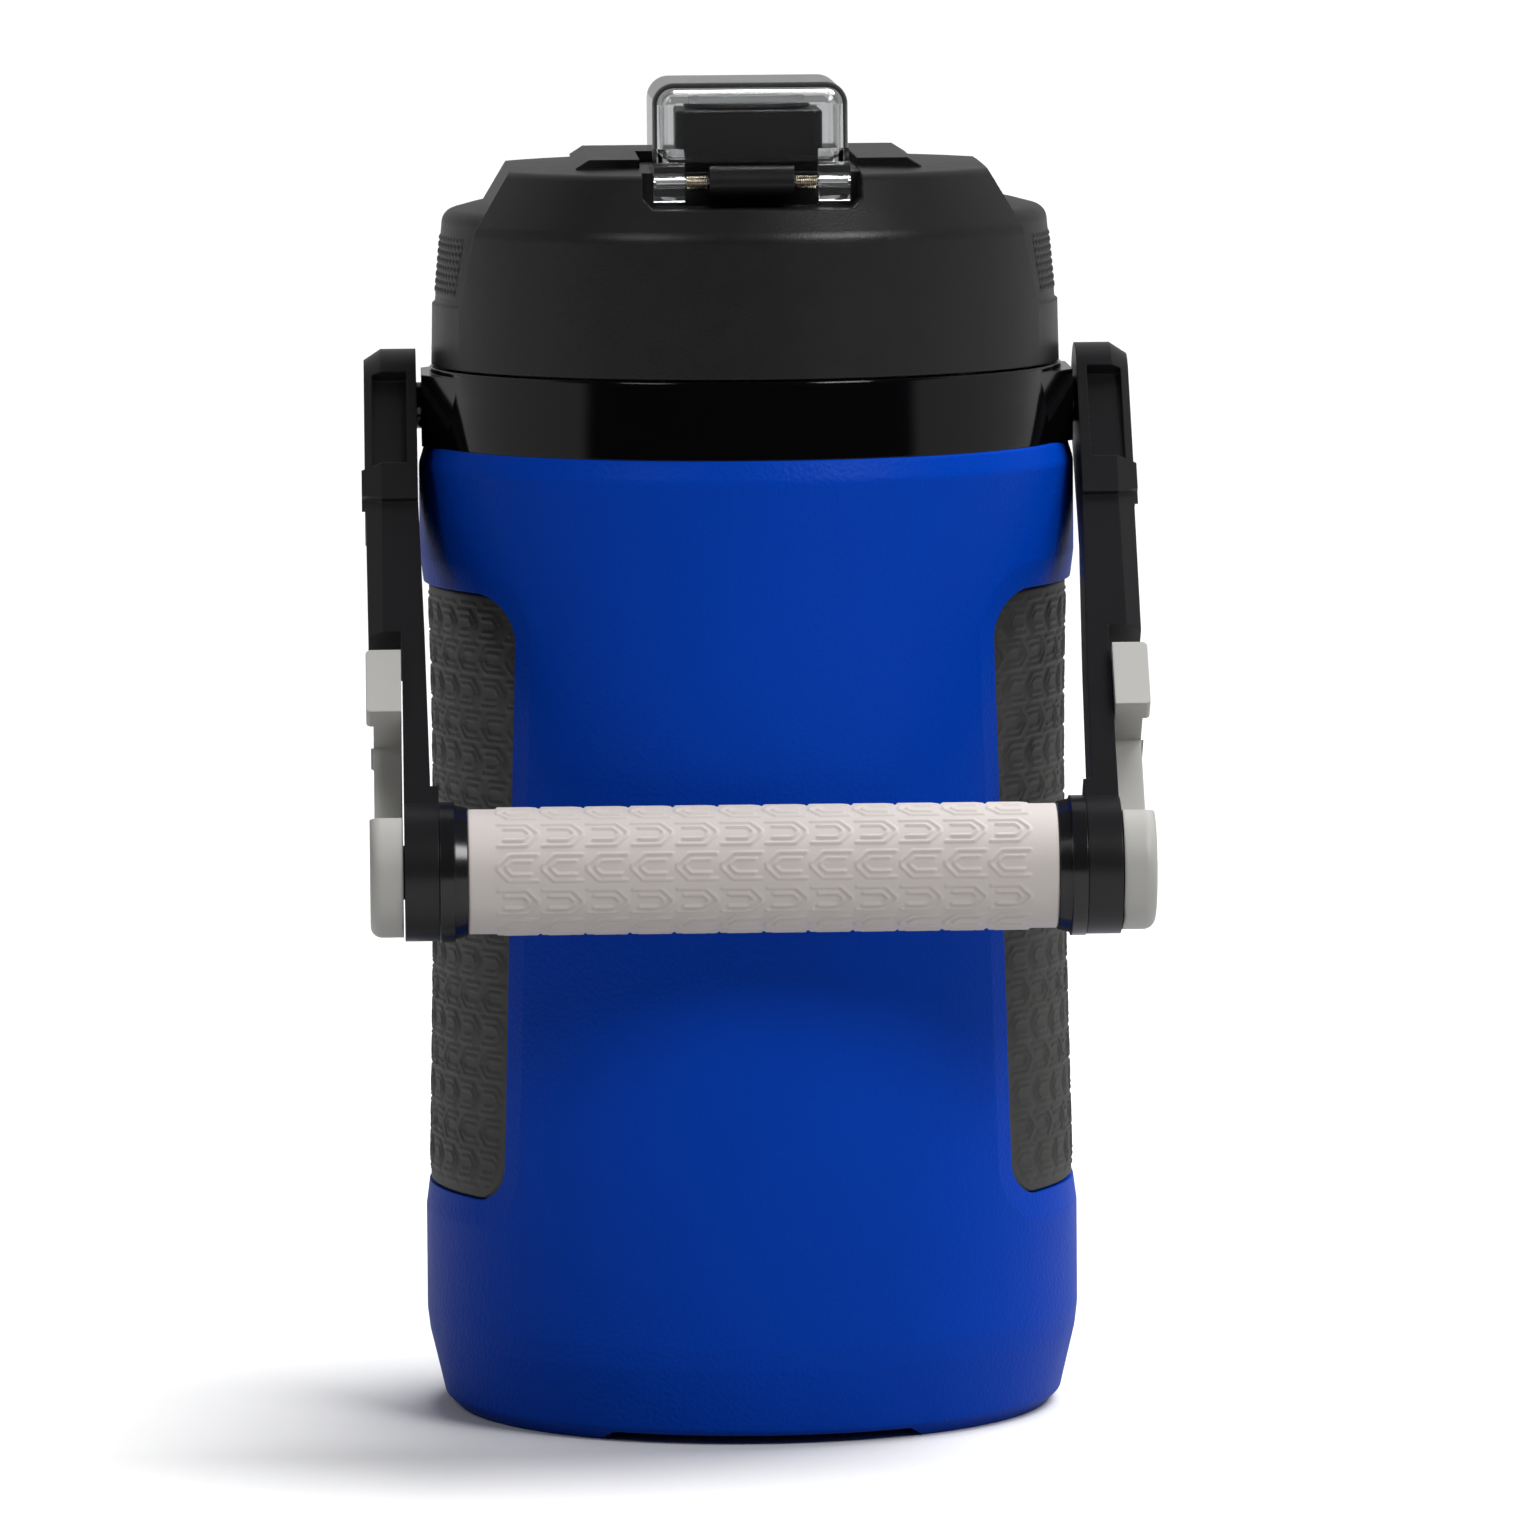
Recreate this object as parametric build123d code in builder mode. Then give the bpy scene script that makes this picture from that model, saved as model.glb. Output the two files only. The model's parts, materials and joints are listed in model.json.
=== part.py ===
from build123d import *
import os
from math import cos, radians, sin, sqrt

# A foam-insulated half-gallon jug with a screw lid, a flip-up spout cover, and a bail handle that carries two
# swinging hooks. Millimetres; +Z is up, +X is the jug's right, -Y is its front; the origin is on the axis, at
# the level of the floor.

os.makedirs("parts", exist_ok=True)

# ---------------------------------------------------------------- driving dimensions
body_r = 75.0  # outer radius of the body
body_top = 222.2  # rim of the outer shell
shell_wall = 2.4
pivot_z = 230.7  # height of the handle's pivots
arm_length = 132.7  # pivot to grip axis
arm_tilt = 42.4  # the handle leans on the front of the body at this angle from vertical
running = 0.05  # radial clearance of a pin that turns in its hole
face_gap = 0.1  # gap between two faces that slide on each other
far = 250.0  # longer than anything it cuts

# ---------------------------------------------------------------- body: levels and radii
foot_r = 67.7
heel_r, heel_z = 71.0, 3.2
chime_r, chime_z = 74.4, 17.6
wall_z0, wall_z1 = 22.5, 217.6
rim_r = 73.6
floor_z = 6.0  # top of the shell's thick base
underside_r, underside_h = 61.0, 3.0
notch_half_low, notch_half_high, foot_notch_h = 36.5, 33.5, 2.3
fill_r, plug_flange_r = 8.0, 11.0  # the plug's flange reaches down to the foot's level

panel_z0, panel_z1 = 52.5, 190.5  # the rubber panel in the side
panel_half0, panel_half1 = 46.8, 51.5  # its half width at the bottom and at the top
panel_corner0, panel_corner1 = 9.0, 11.0
panel_t = 2.2
panel_gap = 0.15
waist = [(51.0, 74.3), (100.0, 73.2), (150.0, 72.7), (192.0, 73.5)]  # height and radius of the panel's face
bevel_out, bevel_in = 6.0, 0.8  # the bevel round the panel, along the wall and down into the recess

neck_r, neck_bore, neck_top = 60.0, 56.8, 262.0
liner_r, liner_bore = 56.7, 54.5
liner_floor, liner_bottom_t, liner_corner = 14.0, 2.0, 9.0
liner_shoulder0, liner_shoulder1 = 206.0, 214.0

# ---------------------------------------------------------------- thread of the neck and the lid
pitch = 8.0
thread_turns = 1.25
thread_z = 246.5  # start of the neck's thread
thread_h = 2.2  # radial height
thread_root, thread_tip = 2.8, 1.4  # width at the root and at the crest
thread_lag = 3.2  # the lid's thread sits this far below the neck's
thread_gap = 0.4
thread_bury = 0.4  # the ridge starts this deep in its wall
skirt_bore = neck_r + thread_h + thread_gap

# ---------------------------------------------------------------- collar
collar_top = 239.8
collar_r0, collar_r1 = 73.0, 72.4
collar_wall = 3.0
collar_bore = neck_r + 0.1
pad_x, pad_top = 74.3, 238.5  # the flat pads that carry the handle
pad_half = 14.0
pad_flank0, pad_flank1 = 35.0, 26.0  # bearing of the line where a pad's flank meets the ring, bottom and top

# ---------------------------------------------------------------- lid
lid_z0, lid_r = 240.3, 71.9
ledge_z, ledge_r, grip_zone_r = 254.2, 71.6, 70.95
side_top_r, side_top_z = 69.0, 275.2  # where the side turns over into the shoulder
shoulder_r, shoulder_z = 60.0, 277.6
crease_r, crease_z = 71.3, 271.8  # the raised band's front bends inwards here
band_edge_r, band_edge_z, band_crown = 63.0, 285.2, 287.0
band_sides = [(65.7, lid_z0), (65.7, ledge_z), (62.0, crease_z), (53.6, 286.0)]  # half width and height
lid_wall = 2.4
deck_half, deck_chamfer, deck_top = 39.0, 3.0, 287.9
deck_y0, deck_y1 = -34.0, 46.0

hinge_y, hinge_z = -54.0, 283.5
notch_half, notch_floor, notch_y1, notch_chamfer = 24.6, 277.7, -45.0, 2.2
channel_floor, channel_y1 = 285.3, 12.5
barrel_half, barrel_r, barrel_web_z = 9.5, 3.65, 280.6
pin_r, pin_half = 0.85, 21.6
spring_wire_r, spring_coil_r, spring_pitch = 0.22, 1.25, 0.5

spout_y = -22.0
spout_half, spout_corner, spout_bore, spout_top = 16.6, 2.5, 11.5, 299.0
spout_tube_r, spout_bottom = 13.6, 263.0
spout_flange_half, spout_flange_t = 19.8, 3.3
skirt_z0, skirt_t = 241.2, 2.6
disc_z0, disc_z1, disc_r = 265.2, 267.6, 66.8  # the inner lid's disc
gasket_r0, gasket_r1, gasket_t, soft_gap = 56.9, 62.2, 2.4, 0.3
insulation_z1, insulation_r = 274.6, 57.0

# ---------------------------------------------------------------- spout cover and its latch
cover_half = 22.0
cover_y0, cover_y1 = -50.0, 8.0
cover_rim, cover_top = 285.6, 305.5
front_rim = 287.8  # the cover's front wall stops above the hinge barrel
cover_wall, cover_corner, cover_edge = 1.9, 5.2, 5.0
ear_x0, ear_r, ear_top = 15.0, 4.4, 290.8
seal_r, seal_z0, seal_t = 14.3, 299.3, 1.0
boss_r, boss_bore = 13.2, 11.4  # the ring under the cover's roof that carries the seal
leg_half, leg_t, leg_z = 4.0, 1.9, 278.9
barb_depth, barb_h = 1.2, 1.0
slide_z0, slide_t, slide_half, slide_y0 = 280.2, 1.5, 7.0, 1.5
window_half, window_y0, window_y1 = 5.0, 4.7, 11.6
slot_half, slot_y0, slot_y1 = 4.6, 4.4, 9.6
button_half, button_y0, button_y1 = 9.0, 56.0, 70.5
button_z0, button_z1, button_gap = 275.6, 282.4, 0.15
rib_half, rib_y0, rib_y1 = 2.0, 39.5, 42.0  # the rib that the latch spring pushes on
latch_travel = 3.0
latch_coil_r, latch_wire_r, latch_pitch, latch_spring_z = 1.9, 0.3, 1.6, 277.7

# ---------------------------------------------------------------- handle (x is measured from the jug's middle)
head_r, head_x0, head_x1 = 13.0, 75.5, 87.4
band_u0, band_u1, band_x1 = 25.7, 35.6, 88.1
band_wrap = 3.5  # how far the band reaches round the arm's outer side
step_u = 72.5  # the arm is cut back outside this point, to take the hook
arm_x1 = 87.2
arm_front_v, arm_back_v, band_proud = 9.5, 9.0, 1.5
edge_x, edge_v = 4.6, 3.0  # the chamfer along the arm's outer front edge
hub_r, hub_x0, hub_x1 = 15.3, 71.7, 79.4
neck_x0, root_x0 = 74.3, 73.5  # the arm's inner side at the step, and where it meets the hub
pocket_u0, pocket_u1, pocket_x0, pocket_x1, pocket_depth = 0.4, 25.7, 77.7, 85.5, 1.6
shoulder_screw_r, screw_head_r, thread_r, hex_r = 4.0, 6.0, 2.45, 2.3
screw_head_x0, screw_head_t = 79.9, 2.5
cap_r, cap_t = 6.6, 2.4
washer_r = 5.3

grip_r, grip_half = 14.25, 65.5
core_r, core_bore, core_plug = 11.0, 8.0, 16.0
ring_x1, ring_r, ring_taper = 71.6, 15.6, 2.8
stub_r, stub_x1 = 6.0, 84.5
hook_head_r, hook_head_t = 7.6, 1.8

hook_x0, hook_x1, hook_tab_x1, hook_strip_x1 = 79.7, 87.1, 87.6, 86.0
hook_r = 14.4
hook_back, hook_throat, hook_front = 9.0, 1.1, 12.5  # across the arm, from the grip axis
tab_u0, tab_u1 = -52.7, -35.4  # along the arm, from the grip axis
throat_u, lip_u = -13.8, -4.6  # the mouth's lower face runs from the throat down to the hub's front edge
hook_round = 2.6  # rounding of the hub's outer rim
tab_depth = 5.5  # the tab stands proud over this depth only

# ---------------------------------------------------------------- planes of the leaning handle
arm_dir = Vector(0, -sin(radians(arm_tilt)), -cos(radians(arm_tilt)))  # from the pivot towards the grip
arm_normal = Vector(0, -cos(radians(arm_tilt)), sin(radians(arm_tilt)))  # out of the arm's front face
pivot = Vector(0, 0, pivot_z)
grip_axis = pivot + arm_dir * arm_length
arm_side = Plane(origin=pivot, x_dir=arm_dir, z_dir=(1, 0, 0))  # x along the arm, y towards its back
arm_face = Plane(origin=pivot, x_dir=arm_dir, z_dir=arm_normal)  # x along the arm, y across the jug
grip_side = Plane(origin=grip_axis, x_dir=arm_dir, z_dir=(1, 0, 0))
grip_face = Plane(origin=grip_axis, x_dir=arm_dir, z_dir=arm_normal)
hinge_side = Plane(origin=(0, hinge_y, hinge_z), x_dir=(0, 1, 0), z_dir=(1, 0, 0))


# ================================================================ body
def pot(inset, floor):
    """The body as a plain round pot, moved inwards by inset, standing on floor."""
    with BuildPart() as form:
        with BuildSketch(Plane.XZ):
            with BuildLine():
                outline = FilletPolyline(
                    (0, floor),
                    (foot_r - inset, floor),
                    (heel_r - inset, max(heel_z, floor + 1.5)),
                    (chime_r - inset, chime_z),
                    (body_r - inset, wall_z0),
                    (body_r - inset, wall_z1),
                    (rim_r - inset, body_top - inset),
                    (0, body_top - inset),
                    radius=[1.0, 2.0, 8.0, 12.0, 5.0, 0.8],
                )
                Line(outline @ 1, outline @ 0)
            make_face()
        revolve(axis=Axis.Z)
    return form.part


def waist_core(inset):
    """Everything inside the waist's surface, moved inwards by inset."""
    low, high = waist[0], waist[-1]
    with BuildPart() as core:
        with BuildSketch(Plane.XZ):
            with BuildLine():
                face = Spline(*[(r - inset, z) for z, r in waist])
                Polyline(
                    face @ 1,
                    (high[1] - inset, far),
                    (0, far),
                    (0, -1),
                    (low[1] - inset, -1),
                    face @ 0,
                )
            make_face()
        revolve(axis=Axis.Z)
    return core.part


def panel_prism(grow):
    """The side panel's outline, grown by grow, pushed out through the right-hand wall."""
    with BuildPart() as prism:
        with BuildSketch(Plane.YZ.offset(body_r / 2)):
            with BuildLine():
                FilletPolyline(
                    (-panel_half0, panel_z0),
                    (panel_half0, panel_z0),
                    (panel_half1, panel_z1),
                    (-panel_half1, panel_z1),
                    radius=[panel_corner0, panel_corner0, panel_corner1, panel_corner1],
                    close=True,
                )
            make_face()
            if grow:
                offset(amount=grow)
        extrude(amount=body_r)
    return prism.part


def recesses(depth, grow):
    """The recesses of both sides, as deep as depth below the waist's surface."""
    with BuildPart() as cutter:
        add(panel_prism(grow))
        add(waist_core(depth), mode=Mode.SUBTRACT)
        mirror(about=Plane.YZ)
    return cutter.part


def on_wall(edge):
    """Whether an edge is one of a recess's rims, on the body's outer wall."""
    points = [edge @ t for t in (0.02, 0.5, 0.98)]
    return (
        all(abs(sqrt(p.X**2 + p.Y**2) - body_r) < 0.02 for p in points)
        and panel_z0 - 1 < points[1].Z < panel_z1 + 1
        and edge.length < far / 2
        and abs(points[1].X) > body_r / 2
    )


with BuildPart() as cavity:  # the space inside the shell's wall
    add(pot(shell_wall, floor_z))
    add(recesses(panel_t + shell_wall, shell_wall), mode=Mode.SUBTRACT)

with BuildPart() as outer_shell:
    add(pot(0, 0))
    add(recesses(panel_t, panel_gap), mode=Mode.SUBTRACT)
    wall = outer_shell.faces().filter_by(GeomType.CYLINDER).sort_by(SortBy.AREA)[-1]
    chamfer(outer_shell.edges().filter_by(on_wall), length=bevel_out, length2=bevel_in, reference=wall)
    add(cavity.part, mode=Mode.SUBTRACT)
    with BuildSketch(Plane.XY.offset(body_top)):
        Circle(neck_r)
    extrude(amount=-2 * shell_wall, mode=Mode.SUBTRACT)
    with BuildSketch(Plane.XY):
        Circle(underside_r)
    extrude(amount=underside_h, mode=Mode.SUBTRACT)
    with BuildSketch(Plane.XY):
        Circle(fill_r)
    extrude(amount=2 * floor_z, mode=Mode.SUBTRACT)
    with BuildSketch(Plane.XZ):  # the gaps in the foot, front and back
        Polygon(
            (-notch_half_low, 0),
            (notch_half_low, 0),
            (notch_half_high, foot_notch_h),
            (-notch_half_high, foot_notch_h),
            align=None,
        )
    extrude(amount=far, both=True, mode=Mode.SUBTRACT)
outer_shell.part.label = "outer_shell"
export_step(outer_shell.part, "parts/outer_shell.step")

with BuildPart() as base_plug:  # closes the hole that the foam is poured through
    with BuildSketch(Plane.XY.offset(underside_h)):
        Circle(plug_flange_r)
    extrude(amount=-underside_h)
    chamfer(base_plug.edges().group_by(Axis.Z)[0], length=0.5)
    with BuildSketch(Plane.XY.offset(underside_h)):
        Circle(fill_r - running)
    extrude(amount=floor_z - underside_h)
base_plug.part.label = "base_plug"
export_step(base_plug.part, "parts/base_plug.step")


def thread_ridge(wall_radius, outwards, z):
    """A helical ridge on a round wall; outwards is 1 for the neck's and -1 for the lid's."""
    with BuildPart() as ridge:
        with BuildLine() as path:
            Helix(pitch, pitch * thread_turns, wall_radius, center=(0, 0, z))
        with BuildSketch(Plane(origin=path.line @ 0, x_dir=(1, 0, 0), z_dir=path.line % 0)):
            Polygon(
                (-outwards * thread_bury, -thread_root / 2),
                (outwards * thread_h, -thread_tip / 2),
                (outwards * thread_h, thread_tip / 2),
                (-outwards * thread_bury, thread_root / 2),
                align=None,
            )
        sweep(path=path.line, is_frenet=True)
    return ridge.part


with BuildPart() as inner_liner:
    with BuildSketch(Plane.XZ):
        with BuildLine():
            outside = FilletPolyline(
                (0, liner_floor - liner_bottom_t),
                (liner_r, liner_floor - liner_bottom_t),
                (liner_r, liner_shoulder0),
                (neck_r, liner_shoulder1),
                (neck_r, neck_top),
                (neck_bore, neck_top),
                (neck_bore, liner_shoulder1),
                (liner_bore, liner_shoulder0),
                (liner_bore, liner_floor),
                (0, liner_floor),
                radius=[liner_corner + 2, 6, 6, 0.8, 0.8, 6, 6, liner_corner],
            )
            Line(outside @ 1, outside @ 0)
        make_face()
    revolve(axis=Axis.Z)
    add(thread_ridge(neck_r, 1, thread_z))
inner_liner.part.label = "inner_liner"
export_step(inner_liner.part, "parts/inner_liner.step")

with BuildPart() as foam_insulation:  # fills the space between the shell and the liner
    add(cavity.part)
    with BuildSketch(Plane.XZ):
        with BuildLine():
            inside = FilletPolyline(
                (0, liner_floor - liner_bottom_t),
                (liner_r, liner_floor - liner_bottom_t),
                (liner_r, liner_shoulder0),
                (neck_r, liner_shoulder1),
                (neck_r, far),
                (0, far),
                radius=[liner_corner + 2, 6, 6, 0],
            )
            Line(inside @ 1, inside @ 0)
        make_face()
    revolve(axis=Axis.Z, mode=Mode.SUBTRACT)
foam_insulation.part.label = "foam_insulation"
export_step(foam_insulation.part, "parts/foam_insulation.step")

with BuildPart() as grip_panel_right:
    add(panel_prism(0))
    add(waist_core(0), mode=Mode.INTERSECT)
    add(waist_core(panel_t), mode=Mode.SUBTRACT)
grip_panel_right.part.label = "grip_panel_right"
export_step(grip_panel_right.part, "parts/grip_panel_right.step")

with BuildPart() as grip_panel_left:
    mirror(grip_panel_right.part, about=Plane.YZ)
grip_panel_left.part.label = "grip_panel_left"
export_step(grip_panel_left.part, "parts/grip_panel_left.step")


# ================================================================ collar and handle pivots
def pad_outline(radius, bearing):
    """A pad's section: flat outside, with flanks that run into the ring at that bearing."""
    meet = (radius * cos(radians(bearing)), radius * sin(radians(bearing)))
    Polygon(
        (meet[0] - collar_wall, -meet[1]),
        (meet[0], -meet[1]),
        (pad_x, -pad_half),
        (pad_x, pad_half),
        (meet[0], meet[1]),
        (meet[0] - collar_wall, meet[1]),
        align=None,
    )


with BuildPart() as collar_pad:
    with BuildSketch(Plane.XY.offset(body_top)):
        pad_outline(collar_r0, pad_flank0)
    with BuildSketch(Plane.XY.offset(pad_top)):
        pad_outline(collar_r1, pad_flank1)
    loft(ruled=True)

with BuildPart() as collar_ring:
    with BuildSketch(Plane.XZ):
        with BuildLine():
            FilletPolyline(
                (collar_r0, body_top),
                (collar_r1, collar_top),
                (collar_bore, collar_top),
                (collar_bore, collar_top - collar_wall),
                (collar_r1 - collar_wall, collar_top - collar_wall),
                (collar_r1 - collar_wall, body_top),
                radius=[0, 0.5, 0, 0, 0, 0],
                close=True,
            )
        make_face()
    revolve(axis=Axis.Z)
    add(collar_pad.part)
    mirror(collar_pad.part, about=Plane.YZ)
    with BuildSketch(Plane.XY.offset(body_top)):
        Circle(collar_bore)
    extrude(amount=collar_top - body_top, mode=Mode.SUBTRACT)
    with BuildSketch(Plane.YZ.offset(collar_bore)):  # tapped holes for the pivot screws
        with Locations((0, pivot_z)):
            Circle(thread_r + running)
    extrude(amount=body_r, mode=Mode.SUBTRACT)
    with BuildSketch(Plane.YZ.offset(-collar_bore)):
        with Locations((0, pivot_z)):
            Circle(thread_r + running)
    extrude(amount=-body_r, mode=Mode.SUBTRACT)
collar_ring.part.label = "collar_ring"
export_step(collar_ring.part, "parts/collar_ring.step")

with BuildPart() as pivot_washers:
    with BuildSketch(Plane.YZ.offset(pad_x)):
        with Locations((0, pivot_z)):
            Circle(washer_r)
            Circle(thread_r + running, mode=Mode.SUBTRACT)
    extrude(amount=head_x0 - face_gap - pad_x)
    mirror(about=Plane.YZ)
pivot_washers.part.label = "pivot_washers"
export_step(pivot_washers.part, "parts/pivot_washers.step")

with BuildPart() as pivot_screws:  # shoulder screws: the arms turn on their shoulders
    with BuildSketch(Plane.YZ.offset(collar_bore + 2)):
        with Locations((0, pivot_z)):
            Circle(thread_r)
    extrude(amount=head_x0 - face_gap - collar_bore - 2)
    with BuildSketch(Plane.YZ.offset(head_x0 - face_gap)):
        with Locations((0, pivot_z)):
            Circle(shoulder_screw_r)
    extrude(amount=screw_head_x0 - head_x0 + face_gap)
    with BuildSketch(Plane.YZ.offset(screw_head_x0)):
        with Locations((0, pivot_z)):
            Circle(screw_head_r)
            RegularPolygon(radius=hex_r, side_count=6, mode=Mode.SUBTRACT)
    extrude(amount=screw_head_t)
    mirror(about=Plane.YZ)
pivot_screws.part.label = "pivot_screws"
export_step(pivot_screws.part, "parts/pivot_screws.step")


# ================================================================ lid
def lid_form(inset):
    """The lid's outer form, moved inwards by inset: a round cap with a raised band from front to back."""
    with BuildPart() as form:
        with BuildSketch(Plane.XZ):
            with BuildLine():
                band = FilletPolyline(
                    (0, lid_z0),
                    (lid_r - inset, lid_z0),
                    (ledge_r - inset, ledge_z),
                    (crease_r - inset, crease_z),
                    (band_edge_r - inset, band_edge_z - inset / 2),
                    (band_edge_r / 2, (band_edge_z + 2 * band_crown) / 3 - inset),
                    (0, band_crown - inset),
                    radius=[0, 0, 5.0, 3.0, 120.0],
                )
                Line(band @ 1, band @ 0)
            make_face()
        revolve(axis=Axis.Z)
        with BuildSketch(Plane.XZ):
            right = [(x - inset, z) for x, z in band_sides]
            Polygon(*right, *[(-x, z) for x, z in reversed(right)], align=None)
        extrude(amount=far, both=True, mode=Mode.INTERSECT)
        with BuildSketch(Plane.XZ):
            with BuildLine():
                cap = FilletPolyline(
                    (0, lid_z0),
                    (lid_r - inset, lid_z0),
                    (ledge_r - inset, ledge_z),
                    (grip_zone_r - inset, ledge_z + 0.4),
                    (side_top_r - inset, side_top_z - inset),
                    (shoulder_r - inset, shoulder_z - inset),
                    (0, shoulder_z - inset),
                    radius=[0, 0.3, 0, 3.5, 20.0],
                )
                Line(cap @ 1, cap @ 0)
            make_face()
        revolve(axis=Axis.Z)
    return form.part


def hinge_pocket(grow):
    """The notch of the hinge and the shallow channel under the cover, grown by grow."""
    with BuildPart() as pocket:
        with BuildSketch(Plane.XZ.offset(-notch_y1 - grow)):
            with Locations((0, notch_floor - grow)):
                Rectangle(2 * (notch_half + grow), far, align=(Align.CENTER, Align.MIN))
            chamfer(vertices().group_by(Axis.Y)[0], length=notch_chamfer)
        extrude(amount=far)
        with BuildSketch(Plane.XY.offset(channel_floor - grow)):
            with Locations((0, channel_y1 + grow)):
                Rectangle(2 * (notch_half + grow), far, align=(Align.CENTER, Align.MAX))
        extrude(amount=far)
    return pocket.part


with BuildPart() as lid_hollow:
    add(lid_form(lid_wall))
    add(hinge_pocket(lid_wall), mode=Mode.SUBTRACT)

with BuildPart() as lid_shell:
    add(lid_form(0))
    with BuildSketch(Plane.XZ.offset(-deck_y1)) as deck_profile:
        with Locations((0, band_edge_z)):
            Rectangle(2 * deck_half, deck_top - band_edge_z, align=(Align.CENTER, Align.MIN))
        chamfer(
            deck_profile.vertices().group_by(Axis.Y)[-1],
            length=deck_top - band_edge_z - 0.8,
            length2=deck_chamfer,
        )
    extrude(amount=deck_y1 - deck_y0)
    add(hinge_pocket(0), mode=Mode.SUBTRACT)
    add(lid_hollow.part, mode=Mode.SUBTRACT)
    with BuildSketch(hinge_side.offset(-barrel_half)):  # the barrel and the web that carries it
        Circle(barrel_r)
        Polygon(
            (0, barrel_web_z - hinge_z),
            (notch_y1 - hinge_y + lid_wall / 2, barrel_web_z - hinge_z),
            (notch_y1 - hinge_y + lid_wall / 2, channel_floor - hinge_z),
            (0, channel_floor - hinge_z),
            align=None,
        )
    extrude(amount=2 * barrel_half)
    with BuildSketch(hinge_side.offset(-notch_half)):
        Circle(pin_r + running / 2)
    extrude(amount=2 * notch_half, mode=Mode.SUBTRACT)
    with BuildSketch(Plane.XY.offset(channel_floor)):
        with Locations((0, spout_y)):
            Circle(spout_tube_r + running)
        with Locations((0, (slot_y0 + slot_y1) / 2)):  # the catch leg's slot
            Rectangle(2 * slot_half, slot_y1 - slot_y0)
    extrude(amount=-2 * lid_wall, mode=Mode.SUBTRACT)
    with BuildSketch(Plane.XY.offset(button_z0)):  # the rib behind the latch spring
        with Locations((0, (rib_y0 + rib_y1) / 2)):
            Rectangle(2 * rib_half, rib_y1 - rib_y0)
    extrude(amount=band_edge_z - button_z0)
    with BuildSketch(Plane.XZ.offset(-button_y0 + latch_travel + 1)):
        with Locations((0, (button_z0 + button_z1) / 2)):
            Rectangle(2 * (button_half + button_gap), button_z1 - button_z0 + 2 * button_gap)
    extrude(amount=-far, mode=Mode.SUBTRACT)
lid_shell.part.label = "lid_shell"
export_step(lid_shell.part, "parts/lid_shell.step")

with BuildPart() as lid_inner:  # the threaded plug inside the lid
    with BuildSketch(Plane.XZ):
        Polygon(
            (spout_tube_r + running, disc_z0),
            (gasket_r0 - soft_gap - 2, disc_z0),
            (gasket_r0 - soft_gap - 2, disc_z0 - gasket_t),
            (gasket_r0 - soft_gap, disc_z0 - gasket_t),
            (gasket_r0 - soft_gap, disc_z0),
            (skirt_bore, disc_z0),
            (skirt_bore, skirt_z0),
            (skirt_bore + skirt_t, skirt_z0),
            (skirt_bore + skirt_t, disc_z0),
            (disc_r, disc_z0),
            (disc_r, disc_z1),
            (spout_tube_r + running, disc_z1),
            align=None,
        )
    revolve(axis=Axis.Z)
    with BuildSketch(Plane.XY.offset(disc_z0)):
        Circle(gasket_r0 - soft_gap - 2)
    extrude(amount=disc_z1 - disc_z0)
    with BuildSketch(Plane.XY.offset(disc_z0)):
        with Locations((0, spout_y)):
            Circle(spout_tube_r + running)
    extrude(amount=disc_z1 - disc_z0, mode=Mode.SUBTRACT)
    add(thread_ridge(skirt_bore, -1, thread_z - thread_lag))
lid_inner.part.label = "lid_inner"
export_step(lid_inner.part, "parts/lid_inner.step")

with BuildPart() as lid_insulation:
    with BuildSketch(Plane.XY.offset(disc_z1)):
        Circle(insulation_r)
        with Locations((0, spout_y)):
            Circle(spout_tube_r + soft_gap, mode=Mode.SUBTRACT)
    extrude(amount=insulation_z1 - disc_z1)
lid_insulation.part.label = "lid_insulation"
export_step(lid_insulation.part, "parts/lid_insulation.step")

with BuildPart() as lid_gasket:
    with BuildSketch(Plane.XY.offset(neck_top + soft_gap)):
        Circle(gasket_r1)
        Circle(gasket_r0, mode=Mode.SUBTRACT)
    extrude(amount=gasket_t)
    fillet(lid_gasket.edges(), radius=0.5)
lid_gasket.part.label = "lid_gasket"
export_step(lid_gasket.part, "parts/lid_gasket.step")

with BuildPart() as spout:
    with BuildSketch(Plane.XY.offset(channel_floor)):
        with Locations((0, spout_y)):
            RectangleRounded(2 * spout_flange_half, 2 * spout_flange_half - 2, 4)
    extrude(amount=spout_flange_t)
    with BuildSketch(Plane.XY.offset(channel_floor)):
        with Locations((0, spout_y)):
            RectangleRounded(2 * spout_half, 2 * spout_half, spout_corner)
    extrude(amount=spout_top - channel_floor)
    with BuildSketch(Plane.XY.offset(spout_bottom)):
        with Locations((0, spout_y)):
            Circle(spout_tube_r)
    extrude(amount=channel_floor - spout_bottom)
    with BuildSketch(Plane.XY.offset(spout_bottom)):
        with Locations((0, spout_y)):
            Circle(spout_bore)
    extrude(amount=far, mode=Mode.SUBTRACT)
    fillet(spout.edges().group_by(Axis.Z)[-1], radius=0.8)
spout.part.label = "spout"
export_step(spout.part, "parts/spout.step")

with BuildPart() as hinge_pin:
    with BuildSketch(hinge_side.offset(-pin_half)):
        Circle(pin_r)
    extrude(amount=2 * pin_half)
    chamfer(hinge_pin.edges(), length=0.2)
hinge_pin.part.label = "hinge_pin"
export_step(hinge_pin.part, "parts/hinge_pin.step")


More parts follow.
